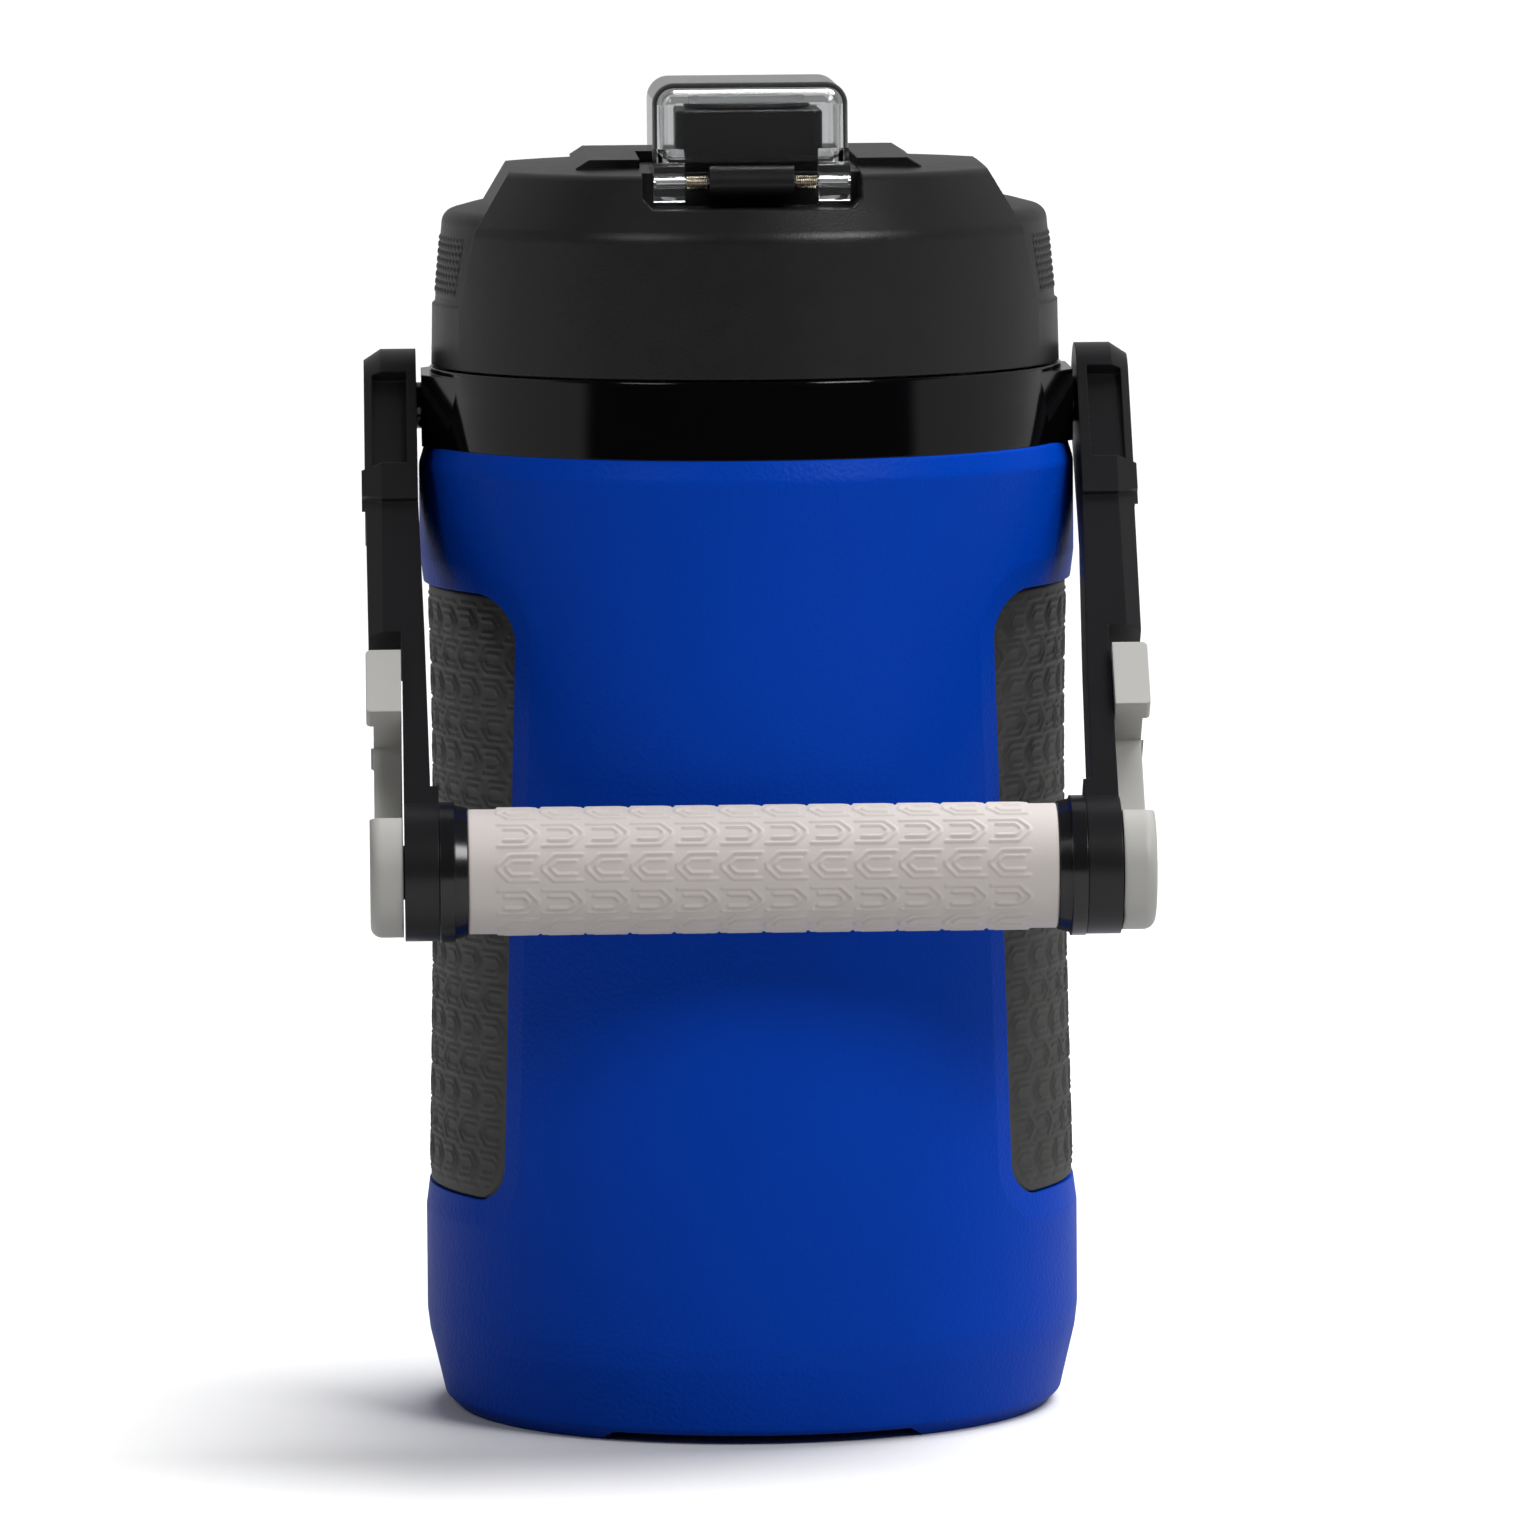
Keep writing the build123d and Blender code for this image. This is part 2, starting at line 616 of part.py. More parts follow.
def coil(coil_r, wire_r, coil_pitch, length, axis_plane):
    """A coil spring along the plane's normal, from its origin."""
    with BuildPart() as spring:
        with BuildLine() as path:
            Helix(
                coil_pitch,
                length - 2 * wire_r,
                coil_r,
                center=axis_plane.origin + axis_plane.z_dir * wire_r,
                direction=axis_plane.z_dir,
            )
        with BuildSketch(Plane(origin=path.line @ 0, z_dir=path.line % 0)):
            Circle(wire_r)
        sweep(path=path.line, is_frenet=True)
    return spring.part


with BuildPart() as cover_springs:  # wound round the pin, each side of the barrel
    add(
        coil(
            spring_coil_r,
            spring_wire_r,
            spring_pitch,
            ear_x0 - barrel_half - 4 * face_gap,
            hinge_side.offset(barrel_half + 2 * face_gap),
        )
    )
    mirror(about=Plane.YZ)
cover_springs.part.label = "cover_springs"
export_step(cover_springs.part, "parts/cover_springs.step")

# ================================================================ spout cover and latch
with BuildPart() as cover_hollow:
    with BuildSketch(Plane.XY.offset(cover_rim)):
        with Locations((0, (cover_y0 + cover_y1) / 2)):
            RectangleRounded(
                2 * (cover_half - cover_wall),
                cover_y1 - cover_y0 - 2 * cover_wall,
                cover_corner - cover_wall,
            )
    extrude(amount=cover_top - cover_rim - cover_wall)
    fillet(cover_hollow.edges().group_by(Axis.Z)[-1], radius=cover_edge - cover_wall)

with BuildPart() as spout_cover:
    with BuildSketch(Plane.XY.offset(cover_rim)):
        with Locations((0, (cover_y0 + cover_y1) / 2)):
            RectangleRounded(2 * cover_half, cover_y1 - cover_y0, cover_corner)
    extrude(amount=cover_top - cover_rim)
    fillet(spout_cover.edges().group_by(Axis.Z)[-1], radius=cover_edge)
    add(cover_hollow.part, mode=Mode.SUBTRACT)
    with BuildSketch(Plane.XY.offset(cover_top - cover_wall)):
        with Locations((0, spout_y)):
            Circle(boss_r)
            Circle(boss_bore, mode=Mode.SUBTRACT)
    extrude(amount=seal_z0 + seal_t - cover_top + cover_wall)
    with BuildSketch(Plane.XY.offset(cover_rim)):  # the front wall clears the barrel and the springs
        with Locations((0, cover_y0)):
            Rectangle(2 * ear_x0, 4 * cover_wall)
    extrude(amount=front_rim - cover_rim, mode=Mode.SUBTRACT)
    with BuildSketch(hinge_side.offset(ear_x0)):
        Circle(ear_r)
        Polygon(
            (-ear_r * cos(radians(15)), ear_r * sin(radians(15))),
            (cover_y0 - hinge_y, ear_top - hinge_z),
            (cover_y0 - hinge_y + cover_wall, ear_top - hinge_z),
            (cover_y0 - hinge_y + cover_wall, cover_rim - hinge_z),
            (ear_r * cos(radians(10)), 0),
            (0, 0),
            align=None,
        )
    extrude(amount=cover_half - ear_x0)
    mirror(about=Plane.YZ)
    with BuildSketch(hinge_side.offset(-cover_half)):
        Circle(pin_r + running)
    extrude(amount=2 * cover_half, mode=Mode.SUBTRACT)
    with BuildSketch(Plane.XY.offset(leg_z)):  # the catch leg and its barb
        with Locations((0, cover_y1)):
            Rectangle(2 * leg_half, leg_t, align=(Align.CENTER, Align.MAX))
    extrude(amount=front_rim - leg_z)
    with BuildSketch(Plane.XY.offset(leg_z)):
        with Locations((0, cover_y1)):
            Rectangle(2 * leg_half, leg_t + barb_depth, align=(Align.CENTER, Align.MAX))
    extrude(amount=barb_h)
spout_cover.part.label = "spout_cover"
export_step(spout_cover.part, "parts/spout_cover.step")

with BuildPart() as cover_seal:
    with BuildSketch(Plane.XY.offset(seal_z0)):
        with Locations((0, spout_y)):
            Circle(seal_r)
    extrude(amount=seal_t)
    fillet(cover_seal.edges().group_by(Axis.Z)[0], radius=0.4)
cover_seal.part.label = "cover_seal"
export_step(cover_seal.part, "parts/cover_seal.step")

with BuildPart() as latch_button:
    with BuildSketch(Plane.XZ.offset(-button_y0)):
        with Locations((0, (button_z0 + button_z1) / 2)):
            RectangleRounded(2 * button_half, button_z1 - button_z0, 1.2)
    extrude(amount=-(button_y1 - button_y0))
    fillet(latch_button.edges().group_by(Axis.Y)[-1], radius=1.0)
    with BuildSketch(Plane.XY.offset(slide_z0)):
        with Locations((0, slide_y0)):
            Rectangle(2 * slide_half, button_y0 - slide_y0, align=(Align.CENTER, Align.MIN))
        with Locations((0, (window_y0 + window_y1) / 2)):  # the catch leg drops through this window
            Rectangle(2 * window_half, window_y1 - window_y0, mode=Mode.SUBTRACT)
        with Locations((0, rib_y0 - 1)):  # clears the spring's rib over the whole travel
            Rectangle(
                2 * rib_half + 1,
                rib_y1 - rib_y0 + latch_travel + 2,
                align=(Align.CENTER, Align.MIN),
                mode=Mode.SUBTRACT,
            )
    extrude(amount=slide_t)
latch_button.part.label = "latch_button"
export_step(latch_button.part, "parts/latch_button.step")

with BuildPart() as latch_spring:
    add(
        coil(
            latch_coil_r,
            latch_wire_r,
            latch_pitch,
            button_y0 - rib_y1 - 2 * face_gap,
            Plane(origin=(0, rib_y1 + face_gap, latch_spring_z), x_dir=(1, 0, 0), z_dir=(0, 1, 0)),
        )
    )
latch_spring.part.label = "latch_spring"
export_step(latch_spring.part, "parts/latch_spring.step")


# ================================================================ handle
hub_u = arm_length
with BuildPart() as handle_arm_right:
    with BuildSketch(arm_side.offset(hub_x0)):
        Circle(head_r)
        Polygon(
            (0, -head_r),
            (band_u1, -arm_front_v - band_proud),
            (band_u1, -arm_front_v),
            (hub_u, -arm_front_v),
            (hub_u, arm_back_v),
            (band_u1, arm_back_v),
            (0, head_r),
            align=None,
        )
        with Locations((hub_u, 0)):
            Circle(hub_r)
    extrude(amount=band_x1 - hub_x0)
    outer_rim = handle_arm_right.edges().group_by(Axis.X)[-1]
    chamfer(
        outer_rim.filter_by(lambda e: e.center().Z > grip_axis.Z + hub_r),
        length=edge_v,
        length2=edge_x,
        reference=handle_arm_right.faces().sort_by(Axis.X)[-1],
    )
    with BuildSketch(arm_face):  # what the arm keeps, seen from its front
        Polygon(
            (-head_r - 1, head_x0),
            (band_u1, head_x0 - 0.2),
            (step_u, neck_x0),
            (hub_u - hub_r - 1.5, root_x0),
            (hub_u - hub_r - 1.5, hub_x0),
            (hub_u + hub_r + 1, hub_x0),
            (hub_u + hub_r + 1, hub_x1),
            (step_u, hub_x1),
            (step_u, arm_x1 - 0.3),
            (band_u1, arm_x1),
            (band_u1, band_x1),
            (band_u0, band_x1),
            (band_u0, head_x1),
            (-head_r - 1, head_x1),
            align=None,
        )
    extrude(amount=2 * hub_r, both=True, mode=Mode.INTERSECT)
    with BuildSketch(arm_side.offset(head_x1)):  # behind the band's wrap the outer side is plain
        with Locations((band_u0, -arm_front_v + band_wrap)):
            Rectangle(band_u1 - band_u0, 2 * head_r, align=(Align.MIN, Align.MIN))
    extrude(amount=band_x1 - head_x1, mode=Mode.SUBTRACT)
    with BuildSketch(Plane(origin=pivot + arm_normal * 2 * hub_r, x_dir=arm_dir, z_dir=arm_normal)):
        with Locations(((pocket_u0 + pocket_u1) / 2, (pocket_x0 + pocket_x1) / 2)):
            Rectangle(pocket_u1 - pocket_u0, pocket_x1 - pocket_x0)
    extrude(amount=-(2 * hub_r - arm_front_v - band_proud + pocket_depth), mode=Mode.SUBTRACT)
    with BuildSketch(grip_side.offset(hub_x1)):  # the stub that the hook turns on
        Circle(stub_r)
    extrude(amount=stub_x1 - hub_x1)
    with BuildSketch(grip_side.offset(hub_x0)):
        Circle(thread_r + running)
    extrude(amount=stub_x1 - hub_x0, mode=Mode.SUBTRACT)
    with BuildSketch(arm_side.offset(hub_x0)):
        Circle(shoulder_screw_r + running)
    extrude(amount=head_x1 - hub_x0, mode=Mode.SUBTRACT)
    with BuildSketch(arm_side.offset(screw_head_x0 - face_gap)):
        Circle(cap_r)
    extrude(amount=head_x1 - head_x0, mode=Mode.SUBTRACT)
handle_arm_right.part.label = "handle_arm_right"
export_step(handle_arm_right.part, "parts/handle_arm_right.step")

with BuildPart() as handle_arm_left:
    mirror(handle_arm_right.part, about=Plane.YZ)
handle_arm_left.part.label = "handle_arm_left"
export_step(handle_arm_left.part, "parts/handle_arm_left.step")

with BuildPart() as pivot_caps:  # pressed into the arms over the pivot screws
    with BuildSketch(arm_side.offset(head_x1 - cap_t)):
        Circle(cap_r)
    extrude(amount=cap_t - 0.3)
    chamfer(pivot_caps.edges().group_by(Axis.X)[-1], length=0.5)
    mirror(about=Plane.YZ)
pivot_caps.part.label = "pivot_caps"
export_step(pivot_caps.part, "parts/pivot_caps.step")

with BuildPart() as grip_core:
    with BuildSketch(grip_side.offset(-ring_x1)):
        Circle(core_r)
    extrude(amount=2 * ring_x1)
    with BuildSketch(grip_side.offset(core_plug - ring_x1)):
        Circle(core_bore)
    extrude(amount=2 * (ring_x1 - core_plug), mode=Mode.SUBTRACT)
    with BuildSketch(grip_side.offset(-ring_x1)):
        Circle(thread_r + running)
    extrude(amount=2 * ring_x1, mode=Mode.SUBTRACT)
grip_core.part.label = "grip_core"
export_step(grip_core.part, "parts/grip_core.step")

with BuildPart() as grip_sleeve:
    with BuildSketch(grip_side.offset(-grip_half)):
        Circle(grip_r)
        Circle(core_r, mode=Mode.SUBTRACT)
    extrude(amount=2 * grip_half)
    fillet(grip_sleeve.edges().filter_by(GeomType.CIRCLE).sort_by(SortBy.LENGTH)[-2:], radius=0.5)
grip_sleeve.part.label = "grip_sleeve"
export_step(grip_sleeve.part, "parts/grip_sleeve.step")

with BuildPart() as grip_rings:  # the black end rings, one at each end of the sleeve
    with BuildSketch(grip_face):
        Polygon(
            (core_r, grip_half),
            (grip_r, grip_half),
            (grip_r + 0.7, grip_half + ring_taper),
            (ring_r, grip_half + ring_taper),
            (ring_r, ring_x1),
            (core_r, ring_x1),
            align=None,
        )
    revolve(axis=Axis(grip_axis, (1, 0, 0)))
    mirror(about=Plane.YZ)
grip_rings.part.label = "grip_rings"
export_step(grip_rings.part, "parts/grip_rings.step")

with BuildPart() as grip_screws:  # hold the arms on the grip, and the hooks on the arms
    with BuildSketch(grip_side.offset(ring_x1 - core_plug + 2)):
        Circle(thread_r)
    extrude(amount=stub_x1 - ring_x1 + core_plug - 2)
    with BuildSketch(grip_side.offset(stub_x1)):
        Circle(hook_head_r)
        RegularPolygon(radius=hex_r, side_count=6, mode=Mode.SUBTRACT)
    extrude(amount=hook_head_t)
    mirror(about=Plane.YZ)
grip_screws.part.label = "grip_screws"
export_step(grip_screws.part, "parts/grip_screws.step")


def on_hook_rim(edge):
    """Whether an edge is on the rim of the hook's hub, at its outer face."""
    hub_centre = grip_axis + Vector(hook_x1, 0, 0)
    return all(
        abs(point.X - hook_x1) < 0.01 and abs((point - hub_centre).length - hook_r) < 0.01
        for point in (edge @ 0, edge @ 0.5, edge @ 1)
    )


with BuildPart() as hook_right:
    with BuildSketch(grip_side.offset(hook_x0)):
        Circle(hook_r)
        Polygon(  # above the throat the disc is cut back, so that the mouth opens towards the front
            (throat_u, hook_throat),
            (lip_u, -hook_r),
            (-2 * hook_r, -hook_r),
            (-2 * hook_r, hook_throat),
            align=None,
            mode=Mode.SUBTRACT,
        )
        Polygon(
            (tab_u0, hook_back),
            (tab_u0, -hook_front),
            (tab_u1, -hook_front),
            (tab_u1, hook_throat),
            (throat_u, hook_throat),
            (0, 0),
            (0, hook_back),
            align=None,
        )
        Circle(stub_r + running, mode=Mode.SUBTRACT)
    extrude(amount=hook_tab_x1 - hook_x0)
    with BuildSketch(grip_face):  # from the front, the tab stands furthest out and the hub is full
        with BuildLine():
            FilletPolyline(
                (tab_u0, hook_x0),
                (tab_u0, hook_tab_x1),
                (tab_u1, hook_tab_x1),
                (tab_u1, hook_strip_x1),
                (throat_u, hook_strip_x1),
                (throat_u, hook_x1),
                (hook_r, hook_x1),
                (hook_r, hook_x0),
                radius=[0, 1.2, 1.0, 0.6, 0.4, 0, 0, 0.6],
                close=True,
            )
        make_face()
    extrude(amount=2 * hook_r, both=True, mode=Mode.INTERSECT)
    with BuildSketch(grip_side.offset(hook_strip_x1)):  # behind the tab
        with Locations((tab_u0, -hook_front + tab_depth)):
            Rectangle(tab_u1 - tab_u0, 2 * hook_r, align=(Align.MIN, Align.MIN))
    extrude(amount=hook_tab_x1 - hook_strip_x1, mode=Mode.SUBTRACT)
    fillet(hook_right.edges().filter_by(on_hook_rim), radius=hook_round)
    with BuildSketch(grip_side.offset(stub_x1 - face_gap)):  # room for the screw's head
        Circle(hook_head_r + 0.4)
    extrude(amount=hook_tab_x1 - stub_x1 + face_gap, mode=Mode.SUBTRACT)
hook_right.part.label = "hook_right"
export_step(hook_right.part, "parts/hook_right.step")

with BuildPart() as hook_left:
    mirror(hook_right.part, about=Plane.YZ)
hook_left.part.label = "hook_left"
export_step(hook_left.part, "parts/hook_left.step")
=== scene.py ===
import json
from math import cos, pi, radians, sin

import bpy
import numpy as np
from mathutils import Matrix, Vector


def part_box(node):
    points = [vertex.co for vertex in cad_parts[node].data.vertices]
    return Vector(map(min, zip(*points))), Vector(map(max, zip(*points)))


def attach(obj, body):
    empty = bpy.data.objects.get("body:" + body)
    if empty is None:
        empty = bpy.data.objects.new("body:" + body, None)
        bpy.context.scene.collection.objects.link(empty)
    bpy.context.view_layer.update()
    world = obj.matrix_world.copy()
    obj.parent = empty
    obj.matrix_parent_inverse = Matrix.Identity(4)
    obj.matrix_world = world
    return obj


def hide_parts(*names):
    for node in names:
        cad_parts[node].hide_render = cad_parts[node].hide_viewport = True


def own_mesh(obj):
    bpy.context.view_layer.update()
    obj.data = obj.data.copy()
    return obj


# The looks of an insulated jug: moulded plastics, patterned rubber, a clear cover, a soft studio.
# The scene is in metres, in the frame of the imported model.
# Shapes and surface detail are given in millimetres, times MM.

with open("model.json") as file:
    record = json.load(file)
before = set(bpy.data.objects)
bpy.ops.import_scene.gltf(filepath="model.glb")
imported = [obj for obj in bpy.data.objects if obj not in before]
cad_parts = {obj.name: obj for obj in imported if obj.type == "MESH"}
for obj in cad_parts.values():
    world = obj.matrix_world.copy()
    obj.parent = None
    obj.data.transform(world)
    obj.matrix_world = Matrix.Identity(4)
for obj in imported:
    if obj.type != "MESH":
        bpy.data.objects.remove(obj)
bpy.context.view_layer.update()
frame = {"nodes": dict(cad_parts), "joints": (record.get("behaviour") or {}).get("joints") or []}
nodes = frame["nodes"]

MM = 0.001


# ================================================================ materials
CELL_SMOOTHNESS, BEVEL_SAMPLES = 0.6, 4
# Every moulded piece is slightly uneven, in patches of colour and of gloss,
# and in low waves where it has no grain. The sizes are in millimetres.
COLOUR_PATCH, GLOSS_PATCH, WAVE_SIZE, WAVE_HEIGHT = 22, 6, 9, 0.01
GLOSS_SPREAD = 0.12  # how far the roughness strays, as a share of it
FINE_GRAIN = 0.4  # the fine grain's size and height, as a share of the coarse grain's
SCRATCH_SIZE, SCRATCH_HEIGHT = 0.25, 0.004  # drawing marks on metal, in millimetres


class Tree:
    """A material's node tree with short ways to add and join nodes."""

    def __init__(self, name):
        self.material = bpy.data.materials.new(name)
        self.material.use_nodes = True
        self.nodes = self.material.node_tree.nodes
        self.links = self.material.node_tree.links
        self.shader = self.nodes["Principled BSDF"]
        self.place = self.add("ShaderNodeTexCoord").outputs["Object"]

    def add(self, kind, **settings):
        """A new node with these settings."""
        node = self.nodes.new(kind)
        for key, value in settings.items():
            setattr(node, key, value)
        return node

    def set(self, **values):
        """Constants on the shader's own sockets; an underscore in a name stands for a space."""
        for key, value in values.items():
            self.shader.inputs[key.replace("_", " ")].default_value = value

    def noise(self, size, detail=2.0):
        """A noise whose features are about size metres across."""
        node = self.add("ShaderNodeTexNoise")
        node.inputs["Scale"].default_value = 1 / size
        node.inputs["Detail"].default_value = detail
        self.links.new(self.place, node.inputs["Vector"])
        return node.outputs["Fac"]

    def cells(self, size):
        """Rounded cells about size metres across, as moulded leather grain has."""
        node = self.add("ShaderNodeTexVoronoi", feature="SMOOTH_F1")
        node.inputs["Scale"].default_value = 1 / size
        node.inputs["Smoothness"].default_value = CELL_SMOOTHNESS
        self.links.new(self.place, node.inputs["Vector"])
        return node.outputs["Distance"]

    def spread(self, value, low, high):
        """value from 0..1, spread to low..high."""
        node = self.add("ShaderNodeMapRange")
        node.inputs["To Min"].default_value = low
        node.inputs["To Max"].default_value = high
        self.links.new(value, node.inputs["Value"])
        return node.outputs["Result"]

    def blend(self, value, first, second):
        """A colour between first and second."""
        node = self.add("ShaderNodeMix", data_type="RGBA")
        node.inputs["A"].default_value = (*first, 1)
        node.inputs["B"].default_value = (*second, 1)
        self.links.new(value, node.inputs["Factor"])
        return node.outputs["Result"]

    def rounded_edges(self, radius):
        """The normal of the surface with its sharp edges rounded off."""
        node = self.add("ShaderNodeBevel", samples=BEVEL_SAMPLES)
        node.inputs["Radius"].default_value = radius
        return node.outputs["Normal"]

    def bump(self, height, distance, after=None):
        """A bump whose full height is distance metres, on top of another."""
        node = self.add("ShaderNodeBump")
        node.inputs["Distance"].default_value = distance
        self.links.new(height, node.inputs["Height"])
        if after:
            self.links.new(after, node.inputs["Normal"])
        return node.outputs["Normal"]

    def feed(self, socket, value):
        """Joins an output to one of the shader's sockets."""
        self.links.new(value, self.shader.inputs[socket])


def moulded(name, colour, roughness, grain=0.0, grain_size=0.9, shade=0.12, edge=0.0, **constants):
    """A moulded plastic or rubber: slightly uneven colour and gloss, a fine grain, softened edges.

    grain is the grain's height, grain_size its width and edge the rounding of the edges, in
    millimetres."""
    tree = Tree(name)
    darker = tuple(c * (1 - shade) for c in colour)
    lighter = tuple(min(1.0, c * (1 + shade)) for c in colour)
    tree.feed("Base Color", tree.blend(tree.noise(COLOUR_PATCH * MM, 3), darker, lighter))
    smoother, rougher = roughness * (1 - GLOSS_SPREAD), roughness * (1 + GLOSS_SPREAD)
    tree.feed("Roughness", tree.spread(tree.noise(GLOSS_PATCH * MM, 4), smoother, rougher))
    softened = tree.rounded_edges(edge * MM) if edge else None
    if grain:
        coarse = tree.bump(tree.cells(grain_size * MM), grain * MM, softened)
        fine = tree.noise(FINE_GRAIN * grain_size * MM, 3)
        tree.feed("Normal", tree.bump(fine, FINE_GRAIN * grain * MM, coarse))
    else:
        tree.feed("Normal", tree.bump(tree.noise(WAVE_SIZE * MM, 2), WAVE_HEIGHT * MM, softened))
    tree.set(**constants)
    return tree.material


def metal(name, colour, roughness):
    """Bright metal wire or pin with faint drawing marks."""
    tree = Tree(name)
    tree.set(Metallic=1.0)
    darker = tuple(0.85 * c for c in colour)
    tree.feed("Base Color", tree.blend(tree.noise(3 * MM, 3), darker, colour))
    tree.feed("Roughness", tree.spread(tree.noise(0.8 * MM, 4), roughness * 0.8, roughness * 1.3))
    tree.feed("Normal", tree.bump(tree.noise(SCRATCH_SIZE * MM, 2), SCRATCH_HEIGHT * MM))
    return tree.material


def clear(name):
    """Clear moulded plastic, polished, with a faint unevenness from the mould."""
    tree = Tree(name)
    tree.set(Transmission_Weight=1.0, IOR=1.49, Base_Color=(0.97, 0.98, 0.985, 1))
    tree.feed("Roughness", tree.spread(tree.noise(5 * MM, 3), 0.0, 0.05))
    tree.feed("Normal", tree.bump(tree.noise(12 * MM, 1), 0.03 * MM))
    return tree.material


def foam(name):
    """Rigid yellowish foam with open cells."""
    tree = Tree(name)
    tree.feed("Base Color", tree.blend(tree.noise(4 * MM, 4), (0.78, 0.68, 0.42), (0.9, 0.82, 0.6)))
    tree.set(Roughness=0.9)
    tree.feed("Normal", tree.bump(tree.cells(0.8 * MM), 0.2 * MM))
    return tree.material


blue = moulded(
    "blue_moulded",
    (0.0, 0.046, 0.43),
    0.42,
    grain=0.09,
    grain_size=1.0,
    shade=0.05,
    edge=0.4,
    Specular_IOR_Level=0.06,
)
rubber = moulded("panel_rubber", (0.034, 0.033, 0.032), 0.56, grain=0.02, grain_size=0.5)
lid_black = moulded(
    "lid_black",
    (0.008, 0.008, 0.0085),
    0.37,
    grain=0.02,
    grain_size=0.6,
    edge=0.5,
    Specular_IOR_Level=0.4,
)
lid_inner_black = moulded("lid_inner_black", (0.018, 0.018, 0.019), 0.4)
collar_gloss = moulded("collar_gloss", (0.0015, 0.0015, 0.002), 0.09, edge=0.4)
arm_black = moulded(
    "arm_black",
    (0.010, 0.010, 0.011),
    0.33,
    grain=0.008,
    grain_size=0.5,
    edge=0.5,
    Specular_IOR_Level=0.35,
)
ring_black = moulded("ring_black", (0.008, 0.008, 0.009), 0.2, edge=0.4)
spout_black = moulded(
    "spout_black",
    (0.004, 0.004, 0.0045),
    0.34,
    grain=0.008,
    grain_size=0.4,
    Specular_IOR_Level=0.2,
)
hook_grey = moulded(
    "hook_grey", (0.40, 0.395, 0.375), 0.42, grain=0.01, grain_size=0.5, shade=0.04, edge=0.6
)
grip_rubber = moulded(
    "grip_silicone", (0.56, 0.515, 0.49), 0.6, grain=0.012, grain_size=0.4, shade=0.04
)
liner_white = moulded("liner_white", (0.80, 0.81, 0.81), 0.3, shade=0.03)
silicone = moulded("seal_silicone", (0.72, 0.73, 0.73), 0.45, shade=0.05, Subsurface_Weight=0.2)
spring_steel = metal("spring_steel", (0.72, 0.63, 0.49), 0.25)
pin_steel = metal("pin_steel", (0.75, 0.75, 0.76), 0.22)
screw_steel = metal("screw_steel", (0.5, 0.5, 0.51), 0.32)
clear_plastic = clear("clear_plastic")
foam_yellow = foam("foam")

finishes = {
    blue: ["outer_shell", "base_plug"],
    liner_white: ["inner_liner"],
    foam_yellow: ["foam_insulation", "lid_insulation"],
    collar_gloss: ["collar_ring", "pivot_washers"],
    lid_black: ["lid_shell", "latch_button"],
    lid_inner_black: ["lid_inner"],
    spout_black: ["spout"],
    silicone: ["lid_gasket"],
    rubber: ["cover_seal"],
    clear_plastic: ["spout_cover"],
    spring_steel: ["cover_springs"],
    pin_steel: ["hinge_pin"],
    screw_steel: ["pivot_screws", "grip_screws"],
    arm_black: ["handle_arm_left", "handle_arm_right", "pivot_caps", "grip_core"],
    ring_black: ["grip_rings"],
    hook_grey: ["hook_left", "hook_right"],
}
for material, names in finishes.items():
    for name in names:
        filled = nodes[name].data.materials
        filled.clear()
        filled.append(material)


# ================================================================ relief patterns
def segment_distance(u, v, start, end):
    """Distance of each point (u, v) from a straight line between two points."""
    across, up = end[0] - start[0], end[1] - start[1]
    t = np.clip(((u - start[0]) * across + (v - start[1]) * up) / (across**2 + up**2), 0, 1)
    return np.hypot(u - start[0] - t * across, v - start[1] - t * up)


# One motif: two nested brackets whose points lie at the left, in millimetres.
# The row's middle is at v = 0.
OUTER = [(9.3, 3.0), (3.0, 3.0), (0.5, 0.5), (0.5, -0.5), (3.0, -3.0), (9.3, -3.0)]
INNER = [(7.9, 1.55), (3.7, 1.55), (2.4, 0.3), (2.4, -0.3), (3.7, -1.55), (7.9, -1.55)]
MOTIF_PITCH = 9.9
RIDGE_HALF, RIDGE_SLOPE = 0.42, 0.26  # half the width of a line at its foot, and the width of its slope


def brackets(u, v, row_pitch):
    """Relief from 0 to 1 of rows of nested brackets; every other row points the other way."""
    row = np.floor(v / row_pitch + 0.5)
    along = np.where(row % 2 == 1, -u, u) % MOTIF_PITCH
    up = v - row * row_pitch
    nearest = np.full(u.shape, np.inf)
    for line in (OUTER, INNER):
        for start, end in zip(line, line[1:]):
            nearest = np.minimum(nearest, segment_distance(along, up, start, end))
    slope = np.clip((RIDGE_HALF - nearest) / RIDGE_SLOPE, 0, 1)
    return slope * slope * (3 - 2 * slope)


def arc_length(y, radius):
    """Length along a round wall, from its middle to a point that is y to the side."""
    return radius * np.arcsin(y / radius)


def edge_drop(gap, radius):
    """How far a rounded edge has dropped at a distance from the edge."""
    return radius * (1 - np.sqrt(1 - np.clip(1 - gap / radius, 0, 1) ** 2))


def quads(index):
    """The four-sided faces of a grid of point numbers."""
    corners = [index[:-1, :-1], index[:-1, 1:], index[1:, 1:], index[1:, :-1]]
    return np.stack(corners, axis=-1).reshape(-1, 4).tolist()


def solid(name, points, faces, material, body, slot, replaced=()):
    """A mesh piece of the object, riding on a body."""
    mesh = bpy.data.meshes.new(name)
    mesh.from_pydata([tuple(p) for p in points], [], faces)
    mesh.polygons.foreach_set("use_smooth", [True] * len(mesh.polygons))
    mesh.materials.append(material)
    mesh.update()
    piece = bpy.data.objects.new(name, mesh)
    bpy.context.scene.collection.objects.link(piece)
    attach(piece, body)
    if replaced:
        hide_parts(*replaced)
    return piece


